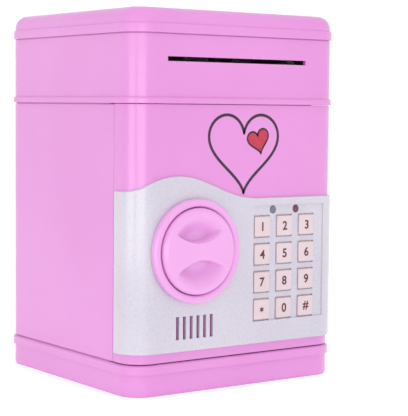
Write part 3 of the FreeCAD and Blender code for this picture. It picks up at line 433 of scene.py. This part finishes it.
# a range of roughness lies wholly above or below 0.274, since one across it renders in blotches
PINK = moulded("pink_shell", linear(220, 143, 211), linear(217, 138, 207), soft=0.1)
PINK_KNOB = moulded("pink_knob", linear(229, 164, 223), linear(225, 158, 218),
                    rough=(0.285, 0.32), soft=0.1)
PEARL = pearl()
KEY = moulded("key_plastic", linear(219, 202, 205), linear(211, 193, 198), rough=(0.32, 0.42))
INNER = moulded("inner_plastic", linear(236, 232, 236), linear(226, 222, 228), rough=(0.4, 0.5))
DARK = moulded("dark_plastic", linear(46, 36, 44), linear(34, 28, 34), rough=(0.45, 0.6))
# the speaker is a real part, but its mauve is painted shade: the shell's pink darkened, as pink
# plastic looks in shadow behind the slots
SPEAKER_PAINTED_SHADE = moulded("speaker_painted_shade", linear(128, 84, 118), linear(104, 66, 96), rough=(0.5, 0.7))
NYLON = moulded("nylon", linear(238, 234, 222), linear(228, 222, 208), rough=(0.4, 0.5), soft=0.1)
CELL = moulded("cell_wrap", linear(44, 84, 120), linear(36, 70, 104), rough=(0.2, 0.26))
DIGIT_INK = ink("digit_ink", linear(88, 26, 34), linear(110, 44, 50))
DARK_INK = ink("dark_ink", linear(42, 22, 40), linear(64, 38, 58))
RED_INK = ink("red_ink", linear(178, 38, 66), linear(200, 62, 88))
STEEL = metal("steel", linear(206, 206, 210), (40.0, 40.0, 3000.0))
WIRE = metal("spring_steel", linear(214, 214, 216), (600.0, 600.0, 600.0))
TYRE = rubber("rubber", linear(40, 40, 42), linear(74, 72, 72))
SILICONE = rubber("silicone", linear(196, 196, 202), linear(214, 214, 218))
BOARD = circuit_board()
GREY_LENS = lamp_lens("green_lamp", linear(122, 116, 132), linear(96, 92, 110))
RED_LENS = lamp_lens("red_lamp", linear(84, 30, 50), linear(120, 44, 62))

# what the inner pieces are made of, and which of them keep their edges as they are
INNER_PIECES = (
    (INNER, ("base_plate", "battery_box", "coin_chute", "note_guide",
             "left_bracket", "right_bracket", "door_cover")),
    (NYLON, ("lock_cam", "latch_tongue", "feed_gear", "motor_pinion")),
    (DARK, ("slot_throat",)),
    # the speaker wears the painted-shade pink
    (SPEAKER_PAINTED_SHADE, ("speaker",)),
    (BOARD, ("keypad_board",)),
    (SILICONE, ("keypad_mat",)),
    (STEEL, ("base_screws", "cover_screws", "battery_screw", "latch_screw", "hinge_pin",
             "feed_shaft", "pinch_shaft", "motor_shaft",
             "feed_motor", "lock_solenoid", "lock_plunger")),
    (WIRE, ("battery_contacts",)),
    (TYRE, ("feed_rollers", "pinch_rollers")),
    (CELL, ("battery_cell_1", "battery_cell_2", "battery_cell_3")),
    (GREY_LENS, ("ready_lamp",)),
    (RED_LENS, ("alarm_lamp",)),
)
LEFT_CRISP = ("feed_gear", "motor_pinion", "battery_contacts", "ready_lamp", "alarm_lamp")


# ---- the mouldings ----

def narrow_door_gap(skin):
    """Lift the door's upper edge, so that no daylight shows through its gap under the head."""
    top = max(vertex.co.z for vertex in skin.data.vertices)
    for vertex in skin.data.vertices:
        if vertex.co.z > top - DOOR_BAND:
            vertex.co.z += DOOR_RISE


def dress_outside():
    for node in ("body_shell", "top_cap", "strike_plate", "battery_cover"):
        refined(node, PINK)
    narrow_door_gap(refined("door_shell", PINK))
    for node in ("plinth", "head_housing"):
        refined(node, PINK, edge=FINE_EDGE)
    # the faceplate's faces and edges stay as the CAD has them
    refined("faceplate", PEARL, edge=0, whole=False)
    refined("knob_ring", PINK_KNOB, edge=RING_EDGE)


def dress_inside():
    for material, nodes in INNER_PIECES:
        for node in nodes:
            refined(node, material, edge=0 if node in LEFT_CRISP else FINE_EDGE)


def make_spring():
    """The plunger's spring, on a mesh of its own; the real spring is pressed together as the plunger
    comes down.
    """
    spring = refined("plunger_spring", WIRE, edge=0)
    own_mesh(spring)


# ---- the knob ----

def smoothstep(amount):
    """A soft step from 0 to 1."""
    amount = max(0.0, min(1.0, amount))
    return amount * amount * (3 - 2 * amount)


def slanted(x, z):
    """A point of the knob's disc as its slightly turned grip sees it."""
    return (x * math.cos(GRIP_SLANT) + z * math.sin(GRIP_SLANT),
            z * math.cos(GRIP_SLANT) - x * math.sin(GRIP_SLANT))


def knob_height(x, z, radius):
    """How far the knob's face stands off its back plane at a point of its disc, in metres."""
    reach = math.hypot(x, z)
    height = KNOB_THICK - KNOB_FALL * (reach / radius) ** 2
    if reach > radius - KNOB_ROUNDING:
        over = min(1.0, (reach - radius + KNOB_ROUNDING) / KNOB_ROUNDING)
        height -= KNOB_ROUNDING * (1 - math.sqrt(1 - over * over))
    past_grip = abs(z) - (GRIP_HALF + GRIP_FLARE * x * x)
    inside_scoop = SCOOP_REACH - reach
    hollow = smoothstep(past_grip / SCOOP_BANK) * smoothstep(inside_scoop / SCOOP_RUN)
    return height - SCOOP_DEPTH * hollow


def circle(reach):
    """Points in X and Z on a circle about the knob's axis."""
    turns = [2 * math.pi * spoke / KNOB_SPOKES for spoke in range(KNOB_SPOKES)]
    return [(reach * math.cos(turn), reach * math.sin(turn)) for turn in turns]


def skin_loops(work, middle, loops):
    """Faces from the middle out over the loops, and one face across the last loop."""
    for spoke in range(KNOB_SPOKES):
        following = (spoke + 1) % KNOB_SPOKES
        work.faces.new((middle, loops[0][spoke], loops[0][following]))
        for inner, outer in zip(loops, loops[1:]):
            work.faces.new((inner[spoke], outer[spoke], outer[following], inner[following]))
    work.faces.new(loops[-1])


def make_knob():
    """The knob's disc as a fine polar grid with two finger scoops, and its spindle."""
    low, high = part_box("knob")
    centre = Vector(((low.x + high.x) / 2, 0, (low.z + high.z) / 2))
    radius = (high.x - low.x) / 2 + KNOB_EASE
    back = low.y + KNOB_THICK

    def face(x, z):
        return back - knob_height(*slanted(x, z), radius)

    work = bmesh.new()
    middle = work.verts.new((centre.x, face(0, 0), centre.z))
    loops = []
    for ring in range(1, KNOB_RINGS + 1):
        points = circle(radius * math.sin(math.pi / 2 * ring / KNOB_RINGS))
        loops.append([work.verts.new((centre.x + x, face(x, z), centre.z + z)) for x, z in points])
    behind = ((radius, back - KNOB_BACK_SLOPE), (radius - KNOB_BACK_SLOPE, back),
              (SPINDLE_RADIUS, back), (SPINDLE_RADIUS, high.y))
    for reach, y in behind:
        loops.append([work.verts.new((centre.x + x, y, centre.z + z)) for x, z in circle(reach)])
    skin_loops(work, middle, loops)
    bmesh.ops.recalc_face_normals(work, faces=work.faces)
    mesh = bpy.data.meshes.new("knob_turned")
    finish_mesh(work, mesh)
    made = piece("knob_turned", mesh, "knob_assembly", PINK_KNOB)
    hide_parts("knob")


# ---- the keys and their printed signs ----

def sign_mesh(text):
    """A sign from the built-in font, upright in X and Z about its own middle, facing -Y."""
    curve = bpy.data.curves.new("sign", "FONT")
    curve.body = text
    curve.size = DIGIT_HEIGHT / FONT_DIGIT
    curve.offset = FONT_BOLDER * DIGIT_HEIGHT
    curve.extrude = INK_THICK / 2
    holder = bpy.data.objects.new("sign", curve)
    mesh = bpy.data.meshes.new_from_object(holder)
    bpy.data.objects.remove(holder)
    mesh.transform(Matrix.Rotation(math.pi / 2, 4, "X"))
    xs = [vertex.co.x for vertex in mesh.vertices]
    zs = [vertex.co.z for vertex in mesh.vertices]
    mesh.transform(Matrix.Translation((-(min(xs) + max(xs)) / 2, 0, -(min(zs) + max(zs)) / 2)))
    return mesh


def star_mesh():
    """A six-armed star, as telephone keypads have it."""
    reaches = (1, 0.62, 0.36, 0.62)     # of the points from one arm's tip to the next
    steps = 6 * len(reaches)
    points = []
    for step in range(steps):
        turn = 2 * math.pi * step / steps
        arm = STAR_ARM * reaches[step % len(reaches)]
        points.append(Vector((arm * math.sin(turn), arm * math.cos(turn))))
    return patch(points)


def make_keys():
    signs = {str(digit): str(digit) for digit in range(10)}
    signs.update({"star": "*", "hash": "#"})
    for name, sign in signs.items():
        node = "key_" + name
        refined(node, KEY, edge=FINE_EDGE)
        low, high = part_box(node)
        mesh = star_mesh() if name == "star" else sign_mesh(sign)
        mesh.transform(Matrix.Translation(((low.x + high.x) / 2, low.y, (low.z + high.z) / 2)))
        piece(node + "_sign", mesh, node + "_cap", DIGIT_INK)


# ---- the print on the door ----

def place_print(name, mesh, place, material, tilt=0.0):
    """Lay a print on the door's front, at a place in X and Z."""
    low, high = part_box("door_shell")
    mesh.transform(Matrix.Rotation(tilt, 4, "Y"))
    mesh.transform(Matrix.Translation((place.x, low.y, place.y)))
    piece(name, mesh, "door", material)


def make_motif():
    """A plain heart in outline with a small red heart inside it."""
    outline = ribbon(heart(HEART_WIDTH), HEART_LINE)
    small = patch(heart(SMALL_HEART_WIDTH))
    rim = ribbon(heart(SMALL_RIM_WIDTH), SMALL_RIM_LINE)
    small_middle = HEART_MIDDLE + SMALL_HEART_SHIFT
    place_print("print_heart", outline, HEART_MIDDLE, DARK_INK)
    place_print("print_small_heart", small, small_middle, RED_INK, SMALL_HEART_TILT)
    place_print("print_small_rim", rim, small_middle, DARK_INK, SMALL_HEART_TILT)


# ---- stage, light and camera ----

def make_floor():
    """A pale floor that glows a little, so that it stays near white as a studio's sweep does."""
    work = bmesh.new()
    bmesh.ops.create_grid(work, x_segments=FLOOR_CELLS, y_segments=FLOOR_CELLS, size=FLOOR_REACH)
    mesh = bpy.data.meshes.new("floor")
    work.to_mesh(mesh)
    work.free()
    finish = Finish("floor")
    tone = finish.blend(finish.noise(3.0), linear(248, 248, 248), linear(244, 244, 245))
    finish.set(Base_Color=tone, Roughness=finish.between(finish.noise(20.0), 0.5, 0.65))
    finish.set(Emission_Color=WHITE, Emission_Strength=FLOOR_GLOW)
    mesh.materials.append(finish.material)
    floor = add("floor", mesh)


def softbox(name, bearing, distance, height, size, power, shine=False):
    """A rectangular light that faces the object, at a bearing in degrees from +X.

    Its power is in watts. It gives light without reflections or, with shine, the reverse.
    """
    turn = math.radians(bearing)
    place = Vector((distance * math.cos(turn), distance * math.sin(turn), height))
    lamp = bpy.data.lights.new(name, "AREA")
    lamp.shape = "RECTANGLE"
    lamp.size, lamp.size_y = size
    lamp.energy = power
    holder = add(name, lamp)
    holder.location = place
    holder.rotation_euler = (OBJECT_MIDDLE - place).to_track_quat("-Z", "Y").to_euler()
    holder.visible_camera = False
    holder.visible_diffuse = not shine
    holder.visible_glossy = shine


def make_world():
    """A studio that is white at the level of the eye and darker overhead."""
    world = bpy.data.worlds.new("studio")
    world.use_nodes = True
    tree = world.node_tree
    direction = tree.nodes.new("ShaderNodeTexCoord").outputs["Generated"]
    height = tree.nodes.new("ShaderNodeSeparateXYZ")
    tree.links.new(direction, height.inputs["Vector"])
    fade = tree.nodes.new("ShaderNodeMapRange")
    fade.interpolation_type = "SMOOTHSTEP"
    fade.inputs["From Min"].default_value, fade.inputs["From Max"].default_value = STUDIO_FADE
    fade.inputs["To Min"].default_value = STUDIO_AT_EYE
    fade.inputs["To Max"].default_value = STUDIO_OVERHEAD
    tree.links.new(height.outputs["Z"], fade.inputs["Value"])
    background = tree.nodes["Background"]
    tree.links.new(fade.outputs["Result"], background.inputs["Strength"])
    background.inputs["Color"].default_value = WHITE
    bpy.context.scene.world = world


def light_scene():
    """Three softboxes for light, and two low ones for the shine on the front corner.

    The low ones stay under the level of the flat top, which would mirror them.
    """
    make_world()
    softbox("left_softbox", -163, 1.5, 0.65, size=(0.55, 1.2), power=1.6)
    softbox("front_softbox", -112, 1.5, 0.65, size=(0.8, 1.2), power=2.4)
    softbox("top_softbox", -120, 0.35, 1.3, size=(0.9, 0.9), power=5.0)
    softbox("left_shine", -160.6, 0.63, 0.1, size=(0.3, 0.2), power=0.42, shine=True)
    softbox("front_shine", -120.4, 0.64, 0.1, size=(0.4, 0.2), power=0.55, shine=True)


def make_camera():
    """The camera, turned by its yaw, tipped down and rolled a little, and plain screen colours."""
    across = Vector((math.cos(CAMERA_YAW), -math.sin(CAMERA_YAW), 0))
    ahead = Vector((math.sin(CAMERA_YAW) * math.cos(CAMERA_DOWN),
                    math.cos(CAMERA_YAW) * math.cos(CAMERA_DOWN), -math.sin(CAMERA_DOWN)))
    up = across.cross(ahead)
    right = math.cos(CAMERA_ROLL) * across + math.sin(CAMERA_ROLL) * up
    above = -math.sin(CAMERA_ROLL) * across + math.cos(CAMERA_ROLL) * up
    lens = bpy.data.cameras.new("camera")
    lens.lens = CAMERA_LENS
    lens.sensor_width = CAMERA_SENSOR
    lens.clip_start, lens.clip_end = CAMERA_RANGE
    camera = add("camera", lens)
    camera.matrix_world = Matrix((
        (right.x, above.x, -ahead.x, CAMERA_PLACE.x),
        (right.y, above.y, -ahead.y, CAMERA_PLACE.y),
        (right.z, above.z, -ahead.z, CAMERA_PLACE.z),
        (0, 0, 0, 1)))
    bpy.context.scene.camera = camera
    bpy.context.scene.view_settings.view_transform = "Standard"


make_camera()
dress_outside()
dress_inside()
make_spring()
make_knob()
make_keys()
make_motif()
make_floor()
light_scene()
